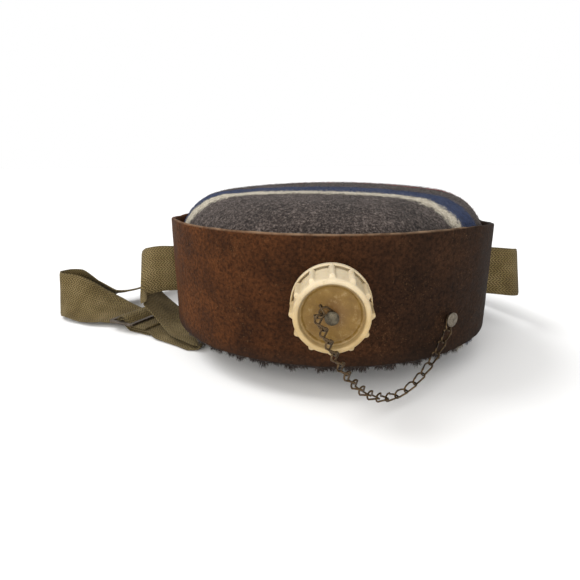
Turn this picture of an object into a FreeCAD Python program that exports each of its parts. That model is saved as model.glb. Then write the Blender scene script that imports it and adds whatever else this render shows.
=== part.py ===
"""Round blanket canteen lying on its back face: steel flask, wool covers, leather band,
ribbed screw cap on a keeper chain, and a webbing sling with a three-bar slide.

Frame: millimetres, +Z up, the cap points along -Y, and the origin is the centre of the small
flat that the back cover rests on.
"""
import FreeCAD, Part
import math
import os
import re

import Sketcher

V = FreeCAD.Vector
UP = V(0, 0, 1)
doc = FreeCAD.newDocument("canteen")

# ---------------------------------------------------------------- driving dimensions
SIZES = {
    "mid_height": 59.0,         # seam plane of the flask above the rest face
    "band_outer_radius": 118.0,
    "leather_thickness": 3.0,
    "band_width": 77.0,
    "wool_radius": 112.9,       # outside of the cloth under the band
    "front_crown": 58.0,        # top of the cloth above the seam plane
    "back_crown": 59.5,         # the same on the back, before the rest flat is pressed in
    "wool_thickness": 2.6,
    "shoulder_radius": 37.0,
    "crown_radius": 700.0,
    "steel_thickness": 0.8,
    "fit_gap": 0.1,
    "axis_height": 63.0,        # cap and neck axis above the rest face
    "neck_bore": 13.2,
    "neck_root": 14.9,
    "neck_lip": 143.8,          # distance of the lip from the canteen's upright axis
    "collar_radius": 17.0,
    "thread_pitch": 4.0,
    "thread_height": 1.2,
    "cap_back": 127.0,
    "cap_front": 152.0,
    "cap_bore": 16.5,
    "cap_wall_radius": 19.1,
    "cap_flange_radius": 21.5,
    "recess_radius": 16.2,
    "recess_depth": 4.5,
    "cap_end_thickness": 2.2,
    "rib_count": 12.0,
    "rib_radius": 1.5,
    "stud_radius": 1.2,
    "stud_head_radius": 3.5,
    "rivet_angle": 36.6,        # chain rivet, degrees round the band from the cap side
    "rivet_height": 43.5,
    "rivet_head_radius": 4.4,
    "rivet_stand": 3.1,         # under the head, clear of the link that leans out of it
    "chain_stand_off": 1.2,     # chain plane outside the leather at the rivet
    "wire": 1.0,
    "link_radius": 2.4,         # centre line of a link's round ends
    "link_half": 4.45,          # link centre to the wire's centre line at its end
    "end_ring_half": 5.9,
    "link_play": 0.1,
    "hanging_links": 19.0,
    "strap_width": 38.0,
    "strap_thickness": 1.7,
    "strap_height": 48.0,       # centre of the webbing where it leaves the band
    "slot_centre": 12.0,        # strap slots, behind the canteen's widest line
    "slot_width": 8.0,
    "slot_height": 42.0,
    "slide_bar": 3.0,
    "slide_depth": 26.0,
    "slide_thickness": 1.6,
}
sheet = doc.addObject("Spreadsheet::Sheet", "Sizes")
for row, (alias, value) in enumerate(SIZES.items(), start=1):
    sheet.set(f"A{row}", alias)
    sheet.set(f"B{row}", str(value))
    sheet.setAlias(f"B{row}", alias)
doc.recompute()


def size(expression):
    """The value of a sum written with the sheet's aliases."""
    if isinstance(expression, (int, float)):
        return float(expression)
    value = sheet.evalExpression(expression)
    return float(getattr(value, "Value", value))


def linked(expression):
    """The same sum, as an expression for another object."""
    return re.sub(r"\b[a-z]+_?[a-z_]*\b", lambda word: swap_alias(word.group(0)), str(expression))


def swap_alias(word):
    return f"Sizes.{word}" if word in SIZES else word


# ---------------------------------------------------------------- sketch and feature helpers
parts = []


def keep(thing, label):
    thing.Label = label
    parts.append(thing)
    return thing


def new_body(label):
    return keep(doc.addObject("PartDesign::Body", label), label)


def origin_plane(body, role):
    return next(item for item in body.Origin.OriginFeatures if item.Role == role)


def new_sketch(body, role, offset=0.0):
    sketch = body.newObject("Sketcher::SketchObject", body.Name + "_sketch")
    sketch.AttachmentSupport = (origin_plane(body, role), [""])
    sketch.MapMode = "FlatFace"
    sketch.AttachmentOffset = FreeCAD.Placement(V(0, 0, offset), FreeCAD.Rotation())
    return sketch


def pin_point(sketch, geometry, place, spot):
    """Ties one end of a line to the sheet: spot is a pair of sums."""
    for axis, (kind, expression) in enumerate(zip(("DistanceX", "DistanceY"), spot)):
        if abs(size(expression)) < 1e-9:
            sketch.addConstraint(Sketcher.Constraint("PointOnObject", geometry, place, -2 + axis))
            continue
        number = sketch.addConstraint(
            Sketcher.Constraint(kind, -1, 1, geometry, place, size(expression)))
        sketch.setExpression(f"Constraints[{number}]", linked(expression))


def outline(sketch, spots):
    """A closed polygon through the spots, every corner tied to the sheet."""
    corners = [V(size(x), size(y), 0) for x, y in spots]
    count = len(corners)
    for index in range(count):
        sketch.addGeometry(Part.LineSegment(corners[index], corners[(index + 1) % count]), False)
    for index in range(count):
        sketch.addConstraint(
            Sketcher.Constraint("Coincident", index, 2, (index + 1) % count, 1))
    for index, spot in enumerate(spots):
        pin_point(sketch, index, 1, spot)


def circle(sketch, radius, spot=(0, 0)):
    number = sketch.addGeometry(Part.Circle(V(size(spot[0]), size(spot[1]), 0), UP, size(radius)))
    rule = sketch.addConstraint(Sketcher.Constraint("Radius", number, size(radius)))
    sketch.setExpression(f"Constraints[{rule}]", linked(radius))
    if abs(size(spot[0])) < 1e-9 and abs(size(spot[1])) < 1e-9:
        sketch.addConstraint(Sketcher.Constraint("Coincident", number, 3, -1, 1))
    else:
        pin_point(sketch, number, 3, spot)


def revolve(body, spots, kind="PartDesign::Revolution"):
    """Turns a polygon of (radius, height) spots about the body's own Z axis."""
    sketch = new_sketch(body, "XZ_Plane")
    outline(sketch, spots)
    feature = body.newObject(kind, body.Name + "_turned")
    feature.Profile = sketch
    feature.ReferenceAxis = (sketch, ["V_Axis"])
    feature.Angle = 360
    doc.recompute()
    return feature


def pad(body, sketch, length, kind="PartDesign::Pad", **settings):
    feature = body.newObject(kind, body.Name + "_pad")
    feature.Profile = sketch
    feature.Length = size(length)
    feature.setExpression("Length", linked(length))
    for name, value in settings.items():
        setattr(feature, name, value)
    doc.recompute()
    return feature


def cut_checked(body, make):
    """Runs a cutting step and makes sure that it removed something."""
    before = body.Shape.Volume
    feature = make()
    doc.recompute()
    if body.Shape.Volume > before - 1e-6:
        raise RuntimeError(f"{feature.Label} cut nothing from {body.Label}")
    return feature


def round_edges(body, radius, choose, feature_kind="PartDesign::Fillet"):
    names = [f"Edge{n}" for n, edge in enumerate(body.Shape.Edges, start=1) if choose(edge)]
    feature = body.newObject(feature_kind, body.Name + "_round")
    feature.Base = (body.Tip if body.Tip is not feature else feature.BaseFeature, names)
    feature.Radius = radius
    doc.recompute()
    return feature


# Pieces on the cap axis are drawn about their own Z, which points out of the neck.
CAP_PLACE = FreeCAD.Placement(V(0, 0, size("axis_height")), FreeCAD.Rotation(V(1, 0, 0), 90))


# ---------------------------------------------------------------- flask halves and wool covers
def dish_curve(radius, crown, shoulder, crown_radius, flat):
    """Half of a dish's section: wall, shoulder arc, crown arc and, if any, the rest flat.

    Each arc is tangent to the next, so the shoulder's centre lies where the two arcs' radii
    differ by its distance from the crown's centre.
    """
    across = radius - shoulder
    low = crown - crown_radius
    rise = low + math.sqrt((crown_radius - shoulder) ** 2 - across ** 2)
    lean = math.atan2(rise - low, across)
    end = math.pi / 2 if flat <= 0 else math.asin((crown - flat - low) / crown_radius)

    def on_shoulder(angle):
        return V(across + shoulder * math.cos(angle), rise + shoulder * math.sin(angle), 0)

    def on_crown(angle):
        return V(crown_radius * math.cos(angle), low + crown_radius * math.sin(angle), 0)

    edges = [Part.LineSegment(V(radius, 0, 0), V(radius, rise, 0)),
             Part.Arc(V(radius, rise, 0), on_shoulder(lean / 2), on_shoulder(lean)),
             Part.Arc(on_shoulder(lean), on_crown((lean + end) / 2), on_crown(end))]
    last = on_crown(end)
    if flat > 0:
        edges.append(Part.LineSegment(last, V(0, last.y, 0)))
    return edges, V(0, last.y if flat > 0 else crown, 0)


def dished_half(label, radius, crown, shoulder, crown_radius, wall, facing_up, flat="0"):
    """A dish turned about Z with its open side down; only its outside has the rest flat."""
    body = new_body(label)
    sketch = new_sketch(body, "XZ_Plane")
    numbers = [size(item) for item in (radius, crown, shoulder, crown_radius)]
    outside, outer_top = dish_curve(*numbers, size(flat))
    inside, inner_top = dish_curve(*[item - size(wall) for item in numbers], 0)
    closing = [Part.LineSegment(V(numbers[0] - size(wall), 0, 0), V(numbers[0], 0, 0)),
               Part.LineSegment(outer_top, inner_top)]
    for edge in outside + inside + closing:
        sketch.addGeometry(edge, False)
    feature = body.newObject("PartDesign::Revolution", label + "_dish")
    feature.Profile = sketch
    feature.ReferenceAxis = (sketch, ["V_Axis"])
    feature.Angle = 360
    doc.recompute()
    turn = FreeCAD.Rotation() if facing_up else FreeCAD.Rotation(V(0, 1, 0), 180)
    body.Placement = FreeCAD.Placement(V(0, 0, size("mid_height")), turn)
    return body


def dish_capacity(crown):
    """The space inside a flask half, from the section's inner curve."""
    numbers = [size(item + CLOTH) for item in ("wool_radius", crown, "shoulder_radius",
                                               "crown_radius")]
    inside, top = dish_curve(*[item - size("steel_thickness") for item in numbers], 0)
    section = Part.Wire([edge.toShape() for edge in inside]
                        + [Part.makeLine(top, V()), Part.makeLine(V(), inside[0].StartPoint)])
    return Part.Face(section).revolve(V(), V(0, 1, 0), 360).Volume


def neck_hole(body, radius, facing_up):
    """A round hole on the cap axis; the dish's own Z runs down in the back half."""
    rise = "axis_height - mid_height" if facing_up else "mid_height - axis_height"
    sketch = new_sketch(body, "XZ_Plane")
    circle(sketch, radius, (0, rise))

    def make():
        return pad(body, sketch, "band_outer_radius", "PartDesign::Pocket", Reversed=True)
    cut_checked(body, make)


CLOTH = " - wool_thickness - fit_gap"
for label, crown, facing_up in (("flask_front_half", "front_crown", True),
                                ("flask_back_half", "back_crown", False)):
    half = dished_half(label, "wool_radius" + CLOTH, crown + CLOTH, "shoulder_radius" + CLOTH,
                       "crown_radius" + CLOTH, "steel_thickness", facing_up)
    if not facing_up:
        inner = "wool_radius" + CLOTH + " - steel_thickness"
        revolve(half, [(inner + " + 0.2", 1), (inner + " + 0.2", 6), (inner + " - 0.8", 6),
                       (inner + " - 0.8", -6), (inner + " - 0.05", -6), (inner + " - 0.05", 1)])
    neck_hole(half, "collar_radius + 0.05", facing_up)

for label, crown, facing_up, flat in (("wool_front_cover", "front_crown", True, "0"),
                                      ("wool_back_cover", "back_crown", False,
                                       "back_crown - mid_height")):
    cover = dished_half(label, "wool_radius", crown, "shoulder_radius", "crown_radius",
                        "wool_thickness", facing_up, flat)
    neck_hole(cover, "collar_radius + 0.5", facing_up)

# ---------------------------------------------------------------- neck
neck = new_body("neck_tube")
revolve(neck, [("neck_bore", 107), ("collar_radius", 107), ("collar_radius", 111.5),
               ("neck_root", 112.5), ("neck_root", "neck_lip - 0.6"),
               ("neck_root - 0.6", "neck_lip"), ("neck_bore", "neck_lip")])


def thread(body, root, crest, start, turns):
    """A trapezoid ridge wound round the body's Z axis."""
    sketch = new_sketch(body, "XZ_Plane")
    inward = "- 0.2" if size(crest) > size(root) else "+ 0.2"
    outline(sketch, [(f"{root} {inward}", f"{start} - 0.8"), (crest, f"{start} - 0.35"),
                     (crest, f"{start} + 0.35"), (f"{root} {inward}", f"{start} + 0.8")])
    ridge = body.newObject("PartDesign::AdditiveHelix", body.Name + "_thread")
    ridge.Profile = sketch
    ridge.ReferenceAxis = (sketch, ["V_Axis"])
    ridge.Mode = "pitch-turns-angle"
    ridge.Pitch = size("thread_pitch")
    ridge.setExpression("Pitch", linked("thread_pitch"))
    ridge.Turns = turns
    doc.recompute()
    return ridge


thread(neck, "neck_root", "neck_root + thread_height", "neck_lip - 11.8", 2.25)
neck.Placement = CAP_PLACE

# ---------------------------------------------------------------- cap
cap = new_body("cap_shell")
END_FACE = "cap_front - recess_depth - cap_end_thickness"
revolve(cap, [("stud_radius + 0.05", END_FACE), ("cap_bore", END_FACE), ("cap_bore", "cap_back"),
              ("cap_flange_radius", "cap_back"), ("cap_flange_radius", "cap_back + 4.2"),
              ("cap_flange_radius - 0.9", "cap_back + 4.2"),
              ("cap_flange_radius - 0.9", "cap_back + 1.5"),
              ("cap_wall_radius + 0.4", "cap_back + 1.5"), ("cap_wall_radius", "cap_front - 1.2"),
              ("cap_wall_radius - 0.9", "cap_front"), ("recess_radius + 0.6", "cap_front"),
              ("recess_radius", "cap_front - 0.8"),
              ("recess_radius - 0.9", "cap_front - recess_depth + 0.7"),
              ("recess_radius - 2.4", "cap_front - recess_depth"),
              ("stud_radius + 0.05", "cap_front - recess_depth")])
rib_sketch = new_sketch(cap, "XY_Plane", size("cap_back + 0.7"))
circle(rib_sketch, "rib_radius", ("cap_wall_radius + 0.35", 0))
rib = pad(cap, rib_sketch, "cap_front - cap_back - 2.6")
ribs = cap.newObject("PartDesign::PolarPattern", "cap_ribs")
ribs.Originals = [rib]
ribs.Axis = (rib_sketch, ["N_Axis"])
ribs.Angle = 360
ribs.Occurrences = int(size("rib_count"))
cap.Tip = ribs
doc.recompute()
thread(cap, "cap_bore", "cap_bore - thread_height", "cap_back + 3.0", 1.5)
cap.Placement = CAP_PLACE

gasket = new_body("cap_gasket")
revolve(gasket, [(6, "neck_lip + 0.02"), ("cap_bore - 0.3", "neck_lip + 0.02"),
                 ("cap_bore - 0.3", END_FACE + " - 0.02"), (6, END_FACE + " - 0.02")])
gasket.Placement = CAP_PLACE

RECESS = "cap_front - recess_depth"
stud = new_body("cap_stud")
revolve(stud, [(0, "neck_lip - 0.4"), (2, "neck_lip - 0.4"), (2, "neck_lip + 0.2"),
               ("stud_radius", "neck_lip + 0.2"), ("stud_radius", RECESS + " + 0.05"),
               (2.2, RECESS + " + 0.05"), (2.2, RECESS + " + 0.55"),
               ("stud_radius", RECESS + " + 0.55"), ("stud_radius", RECESS + " + 5.5"),
               ("stud_head_radius", RECESS + " + 5.5"), ("stud_head_radius", RECESS + " + 6.2"),
               ("stud_head_radius - 0.8", RECESS + " + 6.9"),
               ("stud_head_radius - 2", RECESS + " + 7.3"), (0, RECESS + " + 7.4")])
stud.Placement = CAP_PLACE

stud_burr = new_body("cap_stud_burr")
revolve(stud_burr, [("stud_radius", "neck_lip + 0.25"), (4, "neck_lip + 0.25"),
                    (4, END_FACE + " - 0.05"), ("stud_radius", END_FACE + " - 0.05")])
stud_burr.Placement = CAP_PLACE


# ---------------------------------------------------------------- leather band and its rivets
def cylinder(name, radius, height, angle=360, base=V(0, 0, 0), turn=FreeCAD.Rotation()):
    thing = doc.addObject("Part::Cylinder", name)
    thing.setExpression("Radius", linked(radius))
    thing.setExpression("Height", linked(height))
    thing.Angle = angle
    thing.Placement = FreeCAD.Placement(base, turn)
    return thing


def combine(kind, name, things):
    result = doc.addObject(kind, name)
    if kind == "Part::Cut":
        result.Base, result.Tool = things
    else:
        result.Shapes = things
    return result


def sector_ring(name, outer, inner, height, start, angle, low):
    """Part of a ring about Z, from one angle round through another."""
    place = V(0, 0, low)
    turn = FreeCAD.Rotation(UP, start)
    return combine("Part::Cut", name, [
        cylinder(name + "_outer", outer, height, angle, place, turn),
        cylinder(name + "_inner", inner, height, 360, place, turn)])


def outward_turn(angle):
    """Turns Z to point out of the band, at an angle measured from the cap side."""
    spin = math.radians(angle)
    return FreeCAD.Rotation(UP, V(math.sin(spin), -math.cos(spin), 0))


def band_spot(angle, radius, height):
    spin = math.radians(angle)
    return V(radius * math.sin(spin), -radius * math.cos(spin), height)


BAND_LOW = size("mid_height - band_width / 2")
band_inner = size("band_outer_radius - leather_thickness")
strip = sector_ring("band_strip", "band_outer_radius", "band_outer_radius - leather_thickness",
                    "band_width", 0, 360, BAND_LOW)

# The strip's two ends are pared to half thickness and lapped at the back of the canteen.
LAP = 9.0                       # half of the lap, in degrees
SLIT = 0.15
middle_radius = "band_outer_radius - leather_thickness / 2"
lap_cuts = [sector_ring("lap_face", middle_radius + f" + {SLIT / 2}",
                        middle_radius + f" - {SLIT / 2}", "band_width + 2", 90 - LAP, 2 * LAP,
                        BAND_LOW - 1)]
for name, start, outer, inner in (
        ("lap_outer_end", 90 + LAP, "band_outer_radius + 1", middle_radius + f" - {SLIT / 2}"),
        ("lap_inner_end", 90 - LAP, middle_radius + f" + {SLIT / 2}", "wool_radius")):
    lap_cuts.append(sector_ring(name, outer, inner, "band_width + 2", start - 0.1, 0.2,
                                BAND_LOW - 1))

neck_window = cylinder("neck_window", "collar_radius + 2.5", "band_outer_radius + 2",
                       base=V(0, 0, size("axis_height")), turn=FreeCAD.Rotation(V(1, 0, 0), 90))
# The band is narrower away from the cap, and a little more so on its right. The cut's lower
# face slopes down to the middle of the canteen and is level behind it.
RIM_DROP = 6.5
RIM_SLOPE = 0.087
RIM_LEAN = 1.0                  # degrees, down towards +X
band_top = BAND_LOW + size("band_width")
rim_end = size("band_outer_radius + 10")
rim_profile = [V(0, y, z) for y, z in (
    (-rim_end, band_top - RIM_DROP + RIM_SLOPE * rim_end), (0, band_top - RIM_DROP),
    (rim_end, band_top - RIM_DROP), (rim_end, band_top + 15), (-rim_end, band_top + 15))]
rim_cut = doc.addObject("Part::Extrusion", "rim_cut")
rim_cut.Base = doc.addObject("Part::Feature", "rim_profile")
rim_cut.Base.Shape = Part.Face(Part.makePolygon(rim_profile + rim_profile[:1]))
rim_cut.Dir = V(1, 0, 0)
rim_cut.DirMode = "Custom"
rim_cut.Solid = True
rim_cut.Symmetric = True
rim_cut.LengthFwd = 2 * size("band_outer_radius") + 10
rim_cut.Placement = FreeCAD.Placement(V(), FreeCAD.Rotation(V(0, 1, 0), RIM_LEAN),
                                      V(0, 0, band_top))
slots = doc.addObject("Part::Box", "strap_slots")
slots.setExpression("Length", linked("2 * band_outer_radius + 4"))
slots.setExpression("Width", linked("slot_width"))
slots.setExpression("Height", linked("slot_height"))
slots.Placement.Base = V(-size("band_outer_radius + 2"), size("slot_centre - slot_width / 2"),
                         size("strap_height - slot_height / 2"))

chain_rivet_angle = size("rivet_angle")
JOINT_ANGLES = (176.2, 183.8)
JOINT_HEIGHTS = (25.0, 71.5, 83.5)
joint_spots = [(angle, height) for angle in JOINT_ANGLES for height in JOINT_HEIGHTS]
rivet_spots = [(chain_rivet_angle, size("rivet_height"))] + joint_spots
rivet_holes = [cylinder(f"rivet_hole_{n}", "stud_radius + 0.02", "2 * leather_thickness",
                        base=band_spot(angle, band_inner - 1, height), turn=outward_turn(angle))
               for n, (angle, height) in enumerate(rivet_spots)]
band_tools = combine("Part::MultiFuse", "band_tools",
                     lap_cuts + [neck_window, rim_cut, slots] + rivet_holes)
keep(combine("Part::Cut", "band_cut", [strip, band_tools]), "leather_band")
doc.recompute()

BURR_THICKNESS = 0.8


def turned(name, spots, place):
    """A small turned piece as a revolved body, for rivets and burrs."""
    body = new_body(name)
    revolve(body, spots)
    body.Placement = place
    return body


def radial_place(angle, height):
    return FreeCAD.Placement(V(0, 0, height), outward_turn(angle))


BACK = "band_outer_radius - leather_thickness"
turned("chain_rivet",
       [(0, BACK + " - 1.5"), (1.8, BACK + " - 1.5"), (1.8, BACK + " - 1.0"),
        ("stud_radius", BACK + " - 1.0"), ("stud_radius", "band_outer_radius + rivet_stand"),
        ("rivet_head_radius", "band_outer_radius + rivet_stand"),
        ("rivet_head_radius", "band_outer_radius + rivet_stand + 0.4"),
        ("rivet_head_radius - 0.6", "band_outer_radius + rivet_stand + 0.8"),
        (0, "band_outer_radius + rivet_stand + 1.1")],
       radial_place(chain_rivet_angle, size("rivet_height")))
turned("chain_rivet_burr",
       [("stud_radius + 0.02", BACK + " - 0.95"), (3.6, BACK + " - 0.95"),
        (3.6, BACK + " - 0.1"), ("stud_radius + 0.02", BACK + " - 0.1")],
       radial_place(chain_rivet_angle, size("rivet_height")))


def rivet_group(name, spots_of_piece):
    """Six like pieces at the band's joint, kept together as one group of solids."""
    pieces = []
    profile = [V(size(x), 0, size(z)) for x, z in spots_of_piece]
    solid = Part.Face(Part.makePolygon(profile + profile[:1])).revolve(V(), UP, 360)
    for angle, height in joint_spots:
        copy = solid.copy()
        copy.Placement = radial_place(angle, height)
        pieces.append(copy)
    group = doc.addObject("Part::Feature", name)
    group.Shape = Part.Compound(pieces)
    return keep(group, name)


rivet_group("band_joint_rivets", [
    (0, BACK + " - 1.5"), (1.8, BACK + " - 1.5"), (1.8, BACK + " - 1.0"),
    ("stud_radius", BACK + " - 1.0"), ("stud_radius", "band_outer_radius + 0.1"),
    (4.2, "band_outer_radius + 0.1"), (4.0, "band_outer_radius + 0.7"),
    (2.6, "band_outer_radius + 1.4"), (0, "band_outer_radius + 1.7")])
rivet_group("band_joint_burrs", [
    ("stud_radius + 0.02", BACK + " - 0.95"), (3.4, BACK + " - 0.95"), (3.4, BACK + " - 0.1"),
    ("stud_radius + 0.02", BACK + " - 0.1")])

# ---------------------------------------------------------------- keeper chain
# A link is a loop of wire, twisted so that its first end stands across the chain's plane and its
# second end lies in it. Only the link on the rivet is flat, because it lies along the leather.
WIRE = size("wire")
LINK_R = size("link_radius")
PLAY = size("link_play")
HALF = size("link_half")
PITCH = 2 * HALF - WIRE - PLAY
FIRST_SPAN = 2 * HALF - WIRE / 2 - size("stud_radius") - PLAY
stand_off = size("band_outer_radius + chain_stand_off")
rivet_pivot = band_spot(chain_rivet_angle, stand_off, size("rivet_height"))
stud_pivot = V(0, -size(RECESS) - 2.6, size("axis_height"))

# The first link leans out, so that the next ones hang clear of the leather.
OUT_LEAN = math.radians(16)
SIDE_LEAN = math.radians(24)
outward = band_spot(chain_rivet_angle, 1, 0)
to_cap = UP.cross(outward) * -1
first_knee = rivet_pivot + (
    outward * math.sin(OUT_LEAN)
    + (to_cap * math.sin(SIDE_LEAN) - UP * math.cos(SIDE_LEAN)) * math.cos(OUT_LEAN)) * FIRST_SPAN

# The end ring leans out of the cap's recess, and the last link hooks behind it and runs out
# over the rim, where the hanging links hook over it.
ring_along = V(4.1, 4.7, -4.6).normalize()
RING_PLAY = 0.6                 # the leaning ring needs more room on the stud
ring_joint = stud_pivot - ring_along * (2 * size("end_ring_half") - WIRE / 2
                                        - size("stud_radius") - RING_PLAY)
over_rim = V(1.4, 8.6, 2.2).normalize()
RIM_GRIP = WIRE + 0.25          # between the wires at both ends of the last link
rim_hook = ring_joint - over_rim * (2 * HALF - RIM_GRIP)
rim_joint = rim_hook + V(-0.45, -0.05, 0.89).normalize() * RIM_GRIP


def hanging_points(start, end, span, count):
    """Pivots of a chain that hangs freely between two points, from a catenary."""
    level = V(end.x - start.x, end.y - start.y, 0)
    reach = level.Length
    level.normalize()
    rise = end.z - start.z

    def curve(scale):
        low = reach / 2 - scale * math.asinh(rise / (2 * scale * math.sinh(reach / (2 * scale))))

        def height(along):
            return scale * (math.cosh((along - low) / scale) - math.cosh(low / scale))
        return height

    def walk(scale):
        height = curve(scale)
        along, spots = 0.0, [0.0]
        for _ in range(count):
            near, far = 0.0, span
            for _ in range(50):
                trial = (near + far) / 2
                if math.hypot(trial, height(along + trial) - height(along)) < span:
                    near = trial
                else:
                    far = trial
            along += near
            spots.append(along)
        return spots, height

    slack, tight = reach / 8, reach * 4
    for _ in range(60):
        scale = (slack + tight) / 2
        if walk(scale)[0][-1] < reach:
            slack = scale
        else:
            tight = scale
    spots, height = walk(scale)
    return [start + level * along + V(0, 0, height(along)) for along in spots]


chain_points = [rivet_pivot] + hanging_points(first_knee, rim_joint, PITCH,
                                              int(size("hanging_links")) - 1)
chain_normal = V(rim_joint.x - first_knee.x, rim_joint.y - first_knee.y, 0).cross(UP)
chain_normal.normalize()


def half_ring(name, radius, place):
    thing = doc.addObject("Part::Torus", name)
    thing.setExpression("Radius1", linked(radius))
    thing.setExpression("Radius2", linked("wire / 2"))
    thing.Angle3 = 180
    thing.Placement = place
    return thing


def wire_between(name, start, end):
    thing = doc.addObject("Part::Cylinder", name)
    thing.setExpression("Radius", linked("wire / 2"))
    thing.Height = (end - start).Length
    thing.Placement = FreeCAD.Placement(start, FreeCAD.Rotation(UP, end - start))
    return thing


def knuckle(name, spot):
    thing = doc.addObject("Part::Sphere", name)
    thing.setExpression("Radius", linked("wire / 2 + 0.03"))
    thing.Placement.Base = spot
    return thing


def link_piece(name, half, twisted, place):
    """One loop along its own X: the first end in XZ, the second in XY when twisted."""
    straight = half - LINK_R
    first = FreeCAD.Rotation(V(0, 0, 1), V(-1, 0, 0), V(0, -1, 0), "ZXY")
    second = FreeCAD.Rotation(V(0, -1, 0), V(1, 0, 0), V(0, 0, 1), "ZXY")
    across = V(0, LINK_R, 0) if twisted else V(0, 0, LINK_R)
    if not twisted:
        second = FreeCAD.Rotation(V(0, 0, -1), V(1, 0, 0), V(0, -1, 0), "ZXY")
    pieces = [half_ring(name + "_first", "link_radius",
                        FreeCAD.Placement(V(-straight, 0, 0), first)),
              half_ring(name + "_second", "link_radius",
                        FreeCAD.Placement(V(straight, 0, 0), second))]
    for side in (1, -1):
        start = V(-straight, 0, side * LINK_R)
        end = V(straight, 0, 0) + across * side
        pieces.append(wire_between(f"{name}_side{side + 1}", start, end))
        pieces.append(knuckle(f"{name}_knee{side + 1}", start))
        pieces.append(knuckle(f"{name}_bend{side + 1}", end))
    loop = combine("Part::MultiFuse", name + "_loop", pieces)
    loop.Placement = place
    return keep(loop, name)


def chain_frame(centre, along, across):
    return FreeCAD.Placement(centre, FreeCAD.Rotation(along, across, along.cross(across), "XYZ"))


def square_to(vector, along):
    """The part of a direction that is square to another, at unit length."""
    return (vector - along * vector.dot(along)).normalize()


for number in range(1, len(chain_points)):
    along = (chain_points[number] - chain_points[number - 1]).normalize()
    centre = chain_points[number] - along * HALF
    flat = number == 1
    across = square_to(outward, along) if flat else along.cross(chain_normal).normalize()
    link_piece(f"chain_link_{number:02d}", HALF, not flat, chain_frame(centre, along, across))
link_piece(f"chain_link_{len(chain_points):02d}", HALF, True,
           chain_frame(rim_hook + over_rim * HALF, over_rim,
                       over_rim.cross(chain_normal).normalize()))
link_piece("chain_end_ring", size("end_ring_half"), False,
           chain_frame(ring_joint + ring_along * size("end_ring_half"), ring_along,
                       square_to(V(0, 1, 0), ring_along)))
doc.recompute()


# ---------------------------------------------------------------- slide and webbing sling
SLIDE_CENTRE = V(-160, 5, 0)
SLIDE_HEADING = V(0.9, -0.43, 0).normalize()
SLIDE_ACROSS = V(0.43, 0.9, 0).normalize()
BAR_LOW = 6.5
slide = new_body("strap_slide")
frame_sketch = new_sketch(slide, "XY_Plane")
outline(frame_sketch, [("-slide_depth / 2", "-strap_width / 2 - 3.8"),
                       ("slide_depth / 2", "-strap_width / 2 - 3.8"),
                       ("slide_depth / 2", "strap_width / 2 + 3.8"),
                       ("-slide_depth / 2", "strap_width / 2 + 3.8")])
pad(slide, frame_sketch, "slide_thickness")
window_sketch = new_sketch(slide, "XY_Plane")
for side in ("-", ""):
    first = len(window_sketch.Geometry)
    near, far = f"{side}(slide_bar / 2)", f"{side}(slide_depth / 2 - slide_bar)"
    low, high = "-strap_width / 2 - 0.9", "strap_width / 2 + 0.9"
    spots = [(near, low), (far, low), (far, high), (near, high)]
    corners = [V(size(x), size(y), 0) for x, y in spots]
    for n in range(4):
        window_sketch.addGeometry(Part.LineSegment(corners[n], corners[(n + 1) % 4]), False)
    for n in range(4):
        window_sketch.addConstraint(
            Sketcher.Constraint("Coincident", first + n, 2, first + (n + 1) % 4, 1))
        pin_point(window_sketch, first + n, 1, spots[n])
cut_checked(slide, lambda: pad(slide, window_sketch, "slide_thickness", "PartDesign::Pocket",
                               Reversed=True))


def corner_post(edge):
    return (abs(abs(edge.CenterOfMass.x) - size("slide_depth / 2")) < 0.01
            and abs(edge.CenterOfMass.z - size("slide_thickness / 2")) < 0.01)


round_edges(slide, 3.0, corner_post)
slide.Placement = FreeCAD.Placement(
    SLIDE_CENTRE + V(0, 0, BAR_LOW),
    FreeCAD.Rotation(SLIDE_HEADING, SLIDE_ACROSS, UP, "ZXY"))


def at_slide(spots):
    """Strap stations given along the slide's heading and above the rest plane."""
    return [(SLIDE_CENTRE + SLIDE_HEADING * along + V(0, 0, height), SLIDE_ACROSS)
            for along, height in spots]


def at(*stations):
    """Strap stations: the middle of the webbing, then the direction across it."""
    return [(V(*numbers[:3]), V(*numbers[3:]).normalize()) for numbers in stations]


CRADLE_RADIUS = size("band_outer_radius - leather_thickness") - 1.0
CRADLE_END = 98.4               # where the webbing inside the band reaches its slots, degrees


def cradle():
    """The webbing's run inside the band, round the side away from the cap."""
    steps = 27
    for step in range(steps + 1):
        angle = 360 - CRADLE_END - step * (360 - 2 * CRADLE_END) / steps
        yield band_spot(angle, CRADLE_RADIUS, size("strap_height")), UP


def slot_bend(side):
    """The four stations of the turn through a slot, from outside the band inwards."""
    return [(V(side * x, y, size("strap_height")), UP)
            for x, y in ((118.6, 11.8), (115.8, 12.0), (114.2, 12.8), (113.3, 14.3))]


# The sewn end folds round the slide's middle bar and the webbing comes back out on the floor.
SEWN_END = at_slide([(30, 1.15), (20, 1.15), (12, 1.15), (8.6, 1.2), (6.4, 1.7), (4, 3.3),
                     (1.8, 4.8), (-0.6, 5.15), (-2.6, 5.8), (-3.2, 7.3), (-2.6, 8.8),
                     (-0.6, 9.45), (1.8, 9.25), (4.2, 7.0), (6.4, 4.5), (9, 3.45), (11.5, 3.15),
                     (20, 3.15), (30, 3.1)])
UNDER_RIM = at((-124, -16, 1.6, 0.35, 0.94, 0), (-108, -26, 1.2, 0.2, 0.98, 0),
               (-99, -32, 1.2, 0.05, 1, 0), (-94.5, -33, 1.6, 0.05, 1, 0),
               (-92.6, -33, 3.6, 0.05, 1, 0), (-94.5, -32, 5.4, 0.08, 1, 0),
               (-102, -26, 5.6, 0.12, 0.99, 0), (-112, -18, 5.6, 0.15, 0.98, 0),
               (-124, -8, 7.5, 0.1, 0.99, 0), (-136, -1, 15, 0.05, 1, 0))
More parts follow.
